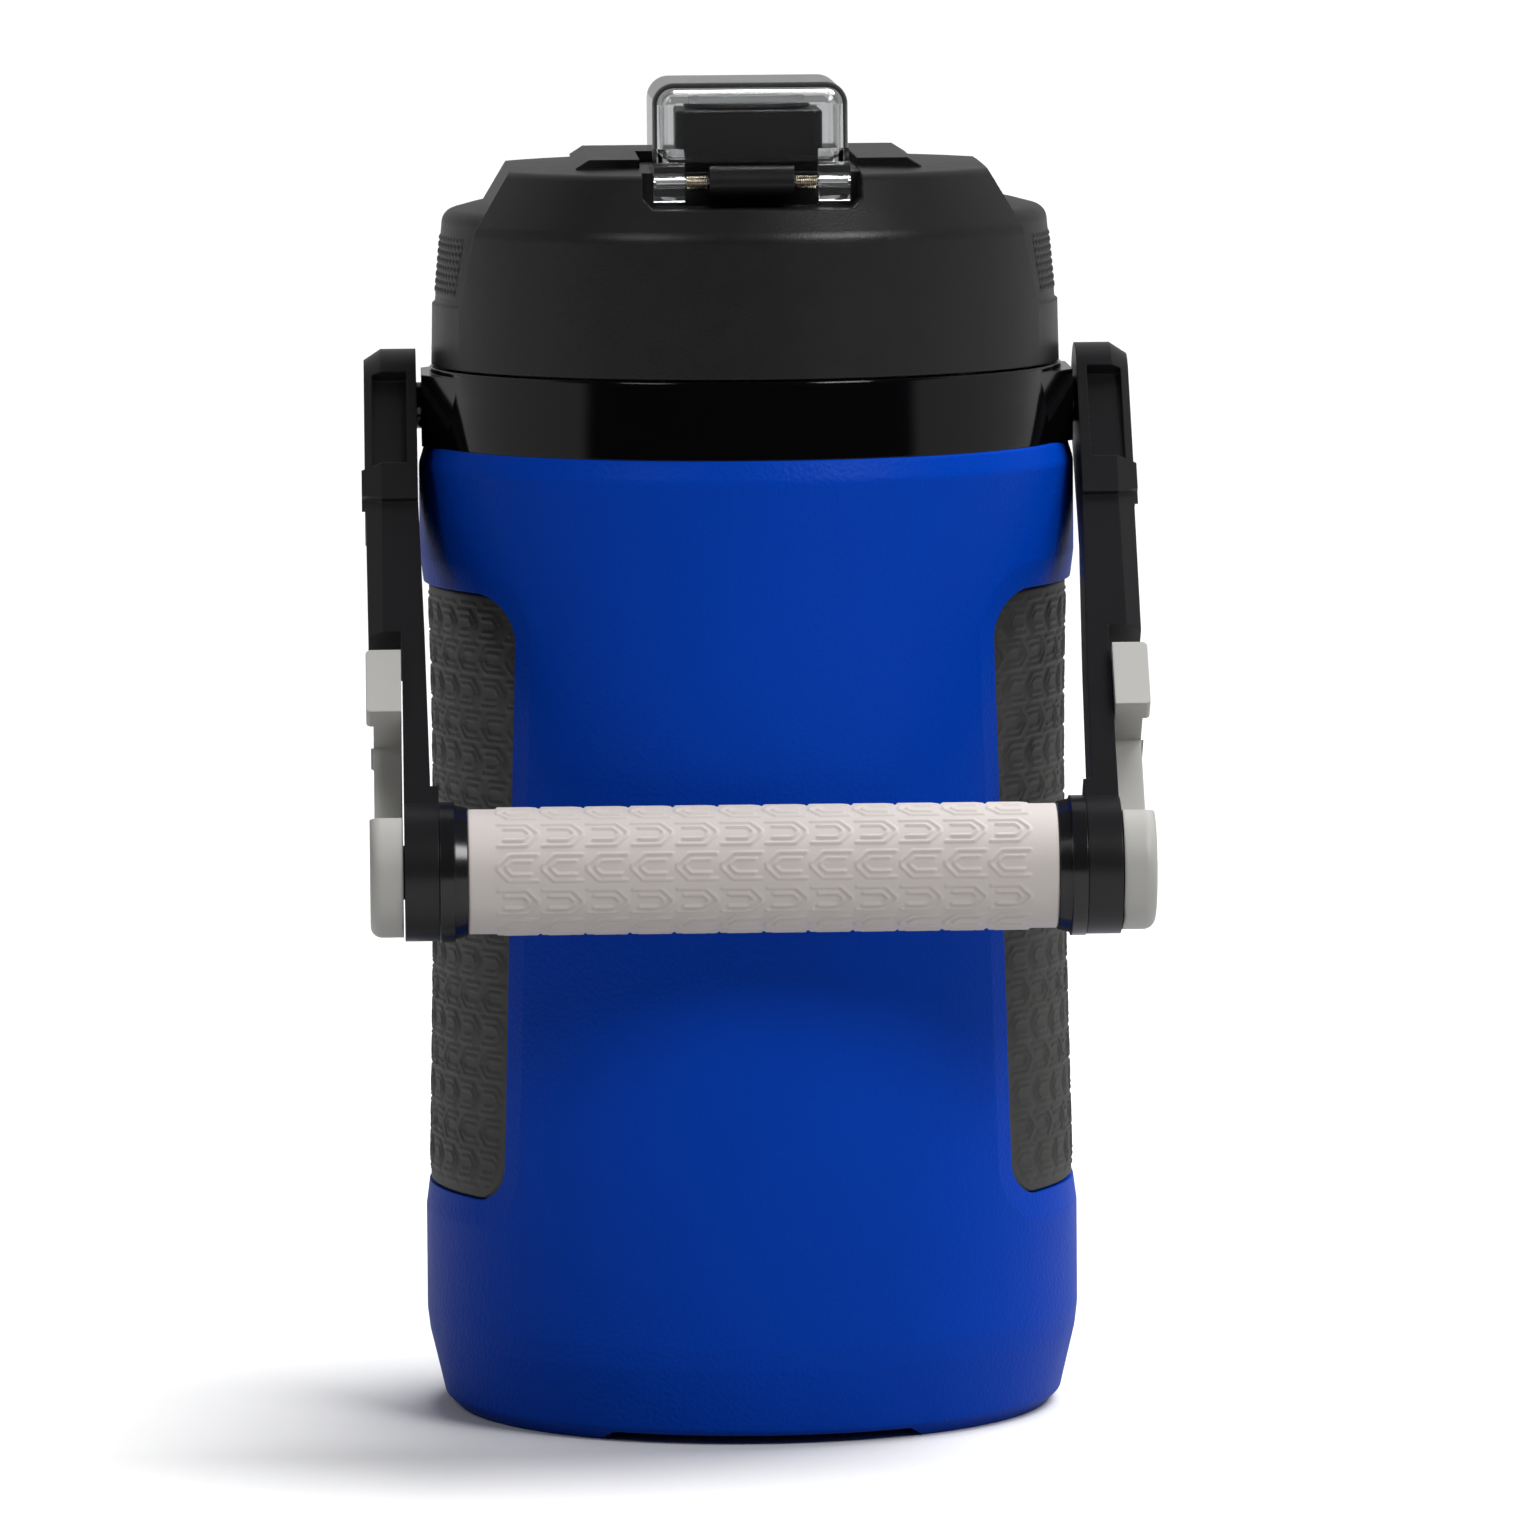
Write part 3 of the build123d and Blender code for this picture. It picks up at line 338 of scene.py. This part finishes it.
SKIN_EDGE = 0.8  # the rounding of a skin's edges, and the width over which its pattern fades in
SKIN_BACKS = 12  # columns of faces on a skin's plain back


def patterned_skin(
    side, radius_at, half_at, z_low, z_high, relief, depth, thickness, border, rows, per_back
):
    """Points and faces of a skin on a round wall: a patterned front, a plain back and closed edges.

    side is 1 or -1 along X; radius_at, half_at and relief take millimetres; the border stays plain;
    the front has per_back columns of faces for each one on the back."""
    z, t = np.meshgrid(
        np.linspace(z_low, z_high, rows + 1),
        np.linspace(-1, 1, SKIN_BACKS * per_back + 1),
        indexing="ij",
    )
    y = t * half_at(z)
    rim = np.minimum(half_at(z) - np.abs(y), np.minimum(z - z_low, z_high - z))
    fade = np.clip((rim - border) / SKIN_EDGE, 0, 1)
    front = radius_at(z) - depth * (1 - fade * relief(y, z)) - edge_drop(rim, SKIN_EDGE)
    back = radius_at(z) - thickness

    def placed(radius):
        x = np.sqrt(radius**2 - y**2)
        return np.stack([side * x, y, z], axis=-1) * MM

    front, back = placed(front), placed(back)[:, ::per_back]
    points = np.concatenate([front.reshape(-1, 3), back.reshape(-1, 3)])
    at = np.arange(front.shape[0] * front.shape[1]).reshape(front.shape[:2])
    under = at.size + np.arange(back.shape[0] * back.shape[1]).reshape(back.shape[:2])
    faces = quads(at) + [f[::-1] for f in quads(under)]
    for column in (0, -1):  # the two side edges
        for i in range(rows):
            face = (at[i, column], at[i + 1, column], under[i + 1, column], under[i, column])
            faces.append(face if column else face[::-1])
    for row in (0, -1):  # the lower and upper edges
        for j in range(SKIN_BACKS):
            face = [*at[row, j * per_back : (j + 1) * per_back + 1], under[row, j + 1], under[row, j]]
            faces.append(face[::-1] if row == 0 else face)
    if side < 0:
        faces = [f[::-1] for f in faces]
    return points, [tuple(int(i) for i in f) for f in faces]


# ---------------------------------------------------------------- rubber panels in the jug's sides
# The panels' faces follow the body's waist, whose radius is given at four heights.
WAIST_Z = [51.0, 100.0, 150.0, 192.0]
WAIST_R = [74.3, 73.2, 72.7, 73.5]
WAIST_CURVE = np.polyfit(WAIST_Z, WAIST_R, 3)
PANEL_LOW, PANEL_HIGH = 52.5, 190.5
PANEL_HALF_LOW, PANEL_HALF_HIGH = 46.8, 51.5
PANEL_CORNER = 10.0
PANEL_ROW = 7.7
PANEL_RADIUS = 73  # the waist's mean radius, on which the pattern is laid out


def panel_half(z):
    """Half width of the panel at a height, with its corners rounded."""
    straight = np.interp(z, [PANEL_LOW, PANEL_HIGH], [PANEL_HALF_LOW, PANEL_HALF_HIGH])
    into = np.clip(PANEL_CORNER - np.minimum(z - PANEL_LOW, PANEL_HIGH - z), 0, PANEL_CORNER)
    return straight - PANEL_CORNER + np.sqrt(PANEL_CORNER**2 - into**2)


def panel_relief(y, z):
    """Rows of brackets, counted from the panel's middle height."""
    return brackets(arc_length(y, PANEL_RADIUS), z - (PANEL_LOW + PANEL_HIGH) / 2, PANEL_ROW)


for name, side in (("right", 1), ("left", -1)):
    shape = patterned_skin(
        side,
        lambda z: np.polyval(WAIST_CURVE, z),
        panel_half,
        PANEL_LOW,
        PANEL_HIGH,
        panel_relief,
        depth=0.42,
        thickness=2.1,
        border=2.2,
        rows=300,
        per_back=19,
    )
    solid("rubber_panel_" + name, *shape, rubber, "jug", "panel_rubber", ["grip_panel_" + name])


# ---------------------------------------------------------------- pattern on the lid's sides
LID_GRIP_LOW, LID_GRIP_HIGH = 255.6, 270.6
LID_GRIP_HALVES = [24.5, 27.0]  # half widths at the lower and the upper edge
LID_SIDE_Z, LID_SIDE_R = [254.6, 275.2], [70.95, 69.0]  # the lid's side, from ledge to shoulder
LID_GRIP_PROUD = 0.32
LID_RADIUS = 70  # the side's mean radius, on which the pattern is laid out
KNURL_WIDE, KNURL_HIGH = 2.4, 1.7
KNURL_SLOPE = 0.25  # width of a lozenge's sloping sides, as a share of the lozenge


def lid_radius(z):
    """The pattern's top: just proud of the lid's side."""
    return np.interp(z, LID_SIDE_Z, LID_SIDE_R) + LID_GRIP_PROUD


def lid_half(z):
    """Half width of the patterned zone at a height."""
    return np.interp(z, [LID_GRIP_LOW, LID_GRIP_HIGH], LID_GRIP_HALVES)


def lid_relief(y, z):
    """A knurl of small lozenges, every other row shifted by half a lozenge."""
    row = np.floor(z / KNURL_HIGH)
    across = (arc_length(y, LID_RADIUS) / KNURL_WIDE + 0.5 * (row % 2)) % 1 - 0.5
    up = z / KNURL_HIGH - row - 0.5
    return np.clip((0.5 - np.abs(across) - np.abs(up)) / KNURL_SLOPE, 0, 1)


for name, side in (("right", 1), ("left", -1)):
    shape = patterned_skin(
        side,
        lid_radius,
        lid_half,
        LID_GRIP_LOW,
        LID_GRIP_HIGH,
        lid_relief,
        depth=0.3,
        thickness=0.6,
        border=0.5,
        rows=72,
        per_back=16,
    )
    solid("lid_grip_" + name, *shape, lid_black, "lid", "lid_black")


# ---------------------------------------------------------------- grip sleeve
grip_axis = next(j for j in frame["joints"] if j["name"] == "hook_right_swing")["pos_m"]
grip_y, grip_z = grip_axis[1] / MM, grip_axis[2] / MM
GRIP_R, GRIP_BORE, GRIP_HALF = 14.25, 11.05, 65.5
GRIP_ROWS, GRIP_MOTIFS = 11, 12
GRIP_COLUMNS, GRIP_STEPS = 374, 264  # faces along the sleeve and around it
GRIP_DEPTH, GRIP_EDGE, GRIP_FADE = 0.4, 0.5, 0.2  # of the relief, the ends and the pattern's limits
FRONT_ROW = radians(9.2)  # the front row's middle stands this far above the horizontal


def around_grip(x, radius, angle):
    """Points around the grip's axis; the angle starts at the front and goes up."""
    return np.stack([x, grip_y - radius * np.cos(angle), grip_z + radius * np.sin(angle)], axis=-1)


x, turn = np.meshgrid(
    np.linspace(-GRIP_HALF, GRIP_HALF, GRIP_COLUMNS + 1),
    np.linspace(-pi, pi, GRIP_STEPS, endpoint=False),
    indexing="ij",
)
pattern_half = GRIP_MOTIFS * MOTIF_PITCH / 2
fade = np.clip((pattern_half - np.abs(x)) / GRIP_FADE, 0, 1)
relief = fade * brackets(x + pattern_half, turn * GRIP_R, 2 * pi * GRIP_R / GRIP_ROWS)
outside = GRIP_R - GRIP_DEPTH * (1 - relief) - edge_drop(GRIP_HALF - np.abs(x), GRIP_EDGE)
angle = turn + FRONT_ROW
ring = around_grip(x, outside, angle)
bore = around_grip(x[[0, -1]], GRIP_BORE, angle[[0, -1]])
count = ring.shape[0] * GRIP_STEPS
at = np.arange(count).reshape(ring.shape[:2])
inner = count + np.arange(2 * GRIP_STEPS).reshape(2, GRIP_STEPS)
loop = np.concatenate([inner[:1], at, inner[1:], inner[:1]])
loop = np.concatenate([loop, loop[:, :1]], axis=1)
points = np.concatenate([ring.reshape(-1, 3), bore.reshape(-1, 3)]) * MM
solid("grip_rubber", points, quads(loop), grip_rubber, "handle", "grip_silicone", ["grip_sleeve"])


# ---------------------------------------------------------------- latch spring
COIL_SIDES, COIL_STEPS = 8, 24  # faces around the wire, and along it for each turn


def coil(low, high, radius, wire, pitch):
    """Points and faces of a spring along Y, between two corners in millimetres."""
    middle = (low + high) / 2
    start, length = low[1] + wire, high[1] - low[1] - 2 * wire
    steps = round(COIL_STEPS * length / pitch)
    along, around = np.meshgrid(
        np.linspace(0, 1, steps + 1),
        np.linspace(0, 2 * pi, COIL_SIDES, endpoint=False),
        indexing="ij",
    )
    turned = 2 * pi * length / pitch * along
    reach = radius + wire * np.cos(around)
    points = np.stack(
        [
            middle[0] + reach * np.cos(turned),
            start + length * along + wire * np.sin(around),
            middle[2] + reach * np.sin(turned),
        ],
        axis=-1,
    )
    index = np.arange(points.size // 3).reshape(steps + 1, COIL_SIDES)
    faces = quads(np.concatenate([index, index[:, :1]], axis=1))
    return points.reshape(-1, 3) * MM, faces + [index[0, ::-1].tolist(), index[-1].tolist()]


SPRING_WIRE, SPRING_PITCH, LATCH_TRAVEL = 0.3, 1.6, 3.0
spring_low, spring_high = np.array(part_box("latch_spring")) / MM
spring_radius = (spring_high[0] - spring_low[0]) / 2 - SPRING_WIRE
shape = coil(spring_low, spring_high, spring_radius, SPRING_WIRE, SPRING_PITCH)
spring = solid("latch_coil", *shape, spring_steel, "lid", "steel", ["latch_spring"])
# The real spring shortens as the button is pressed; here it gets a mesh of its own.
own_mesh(spring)


# ================================================================ studio
def plane(name, x0, y0, x1, y1):
    """A flat rectangle at floor level."""
    mesh = bpy.data.meshes.new(name)
    mesh.from_pydata([(x0, y0, 0), (x1, y0, 0), (x1, y1, 0), (x0, y1, 0)], [], [(0, 1, 2, 3)])
    thing = bpy.data.objects.new(name, mesh)
    bpy.context.scene.collection.objects.link(thing)
    return thing


# Seen directly the floor is near white. To the object it is grey, so that it throws up less light.
FLOOR_GREY = 0.44
floor = plane("floor", -6, -1.6, 6, 14)
floor_tree = Tree("floor_white")
floor_white = floor_tree.blend(floor_tree.noise(0.8), (0.88, 0.88, 0.88), (0.90, 0.90, 0.90))
seen = floor_tree.add("ShaderNodeLightPath").outputs["Is Camera Ray"]
floor_colour = floor_tree.blend(seen, [FLOOR_GREY] * 3, [1] * 3)
floor_tree.links.new(floor_white, floor_colour.node.inputs["B"])
floor_tree.feed("Base Color", floor_colour)
floor_tree.set(Roughness=0.9, Specular_IOR_Level=0.1)
floor.data.materials.append(floor_tree.material)

# In reflections the room is bright behind and beside the object, and dark overhead and in front of it,
# where the camera stands. Seen directly it is white, and through the clear cover it is grey.
# It lights the object only a little: the lamps do that.
ROOM_DARK, ROOM_BRIGHT = 0.01, 0.36
ZENITH = -0.8  # the share of a direction's Z that is added to its Y
DARK_UP_TO, BRIGHT_FROM = -0.52, -0.42  # the limits of that sum between which dark turns to bright
BY_RAY = (("Is Diffuse Ray", 0.05), ("Is Transmission Ray", 0.25), ("Is Camera Ray", 1.0))

world = bpy.data.worlds.new("studio")
world.use_nodes = True
bpy.context.scene.world = world
sky = world.node_tree
background = sky.nodes["Background"]
background.inputs["Color"].default_value = (1, 1, 1, 1)
direction = sky.nodes.new("ShaderNodeTexCoord").outputs["Generated"]
split = sky.nodes.new("ShaderNodeSeparateXYZ")
sky.links.new(direction, split.inputs["Vector"])
lowered = sky.nodes.new("ShaderNodeMath")
lowered.operation = "MULTIPLY_ADD"
lowered.inputs[1].default_value = ZENITH
sky.links.new(split.outputs["Z"], lowered.inputs[0])
sky.links.new(split.outputs["Y"], lowered.inputs[2])
facing = sky.nodes.new("ShaderNodeMapRange")
facing.interpolation_type = "SMOOTHSTEP"
facing.inputs["From Min"].default_value = DARK_UP_TO
facing.inputs["From Max"].default_value = BRIGHT_FROM
facing.inputs["To Min"].default_value = ROOM_DARK
facing.inputs["To Max"].default_value = ROOM_BRIGHT
sky.links.new(lowered.outputs["Value"], facing.inputs["Value"])
path = sky.nodes.new("ShaderNodeLightPath")
strength = facing.outputs["Result"]
for kind, value in BY_RAY:
    choose = sky.nodes.new("ShaderNodeMix")
    sky.links.new(path.outputs[kind], choose.inputs["Factor"])
    sky.links.new(strength, choose.inputs["A"])
    choose.inputs["B"].default_value = value
    strength = choose.outputs["Result"]
sky.links.new(strength, background.inputs["Strength"])

AIM = (0, 0, 0.15)  # the jug's middle


def lamp(name, light, place, target=AIM):
    """A light at a place, aimed at a point."""
    thing = bpy.data.objects.new(name, light)
    thing.location = place
    thing.rotation_mode = "QUATERNION"
    thing.rotation_quaternion = (Vector(target) - Vector(place)).to_track_quat("-Z", "Y")
    bpy.context.scene.collection.objects.link(thing)
    return thing


def softbox(name, place, width, height, power):
    """A rectangular area light aimed at the object."""
    light = bpy.data.lights.new(name, "AREA")
    light.shape = "RECTANGLE"
    light.size, light.size_y, light.energy = width, height, power
    return lamp(name, light, place)


softbox("right", (1.3, -1.7, 1.75), 0.8, 0.9, 31)
softbox("left", (-1.4, -1.6, 1.6), 0.7, 0.9, 9)
softbox("overhead", (0.2, 0.1, 2.0), 1.6, 1.2, 6).visible_glossy = False
ceiling = bpy.data.lights.new("ceiling", "SUN")  # the soft light from above that whitens the floor
ceiling.energy, ceiling.angle = 4.0, radians(50)
lamp("ceiling", ceiling, (0.35, 0.25, 1.0), (0, 0, 0)).visible_glossy = False

# ---------------------------------------------------------------- camera
CAMERA_DISTANCE, CAMERA_HEIGHT = 2.53, 0.395
LENS, SHIFT_X, SHIFT_Y = 262.67, 0.0061, 0.0041
YAW, PITCH, ROLL = radians(1.9), radians(5.59), radians(0.45)
ahead = Vector((sin(YAW) * cos(PITCH), cos(YAW) * cos(PITCH), -sin(PITCH)))
level = Vector((cos(YAW), -sin(YAW), 0))
upwards = level.cross(ahead)
right = level * cos(ROLL) - upwards * sin(ROLL)
top = level * sin(ROLL) + upwards * cos(ROLL)
camera = bpy.data.objects.new("camera", bpy.data.cameras.new("camera"))
camera.matrix_world = Matrix.Translation(
    (-CAMERA_DISTANCE * sin(YAW), -CAMERA_DISTANCE * cos(YAW), CAMERA_HEIGHT)
) @ Matrix((right, top, -ahead)).transposed().to_4x4()
camera.data.sensor_width = 36
camera.data.lens = LENS
camera.data.shift_x, camera.data.shift_y = SHIFT_X, SHIFT_Y
camera.data.clip_end = 60  # past the floor's far edge
bpy.context.scene.collection.objects.link(camera)
bpy.context.scene.camera = camera
bpy.context.scene.view_settings.view_transform = "Standard"
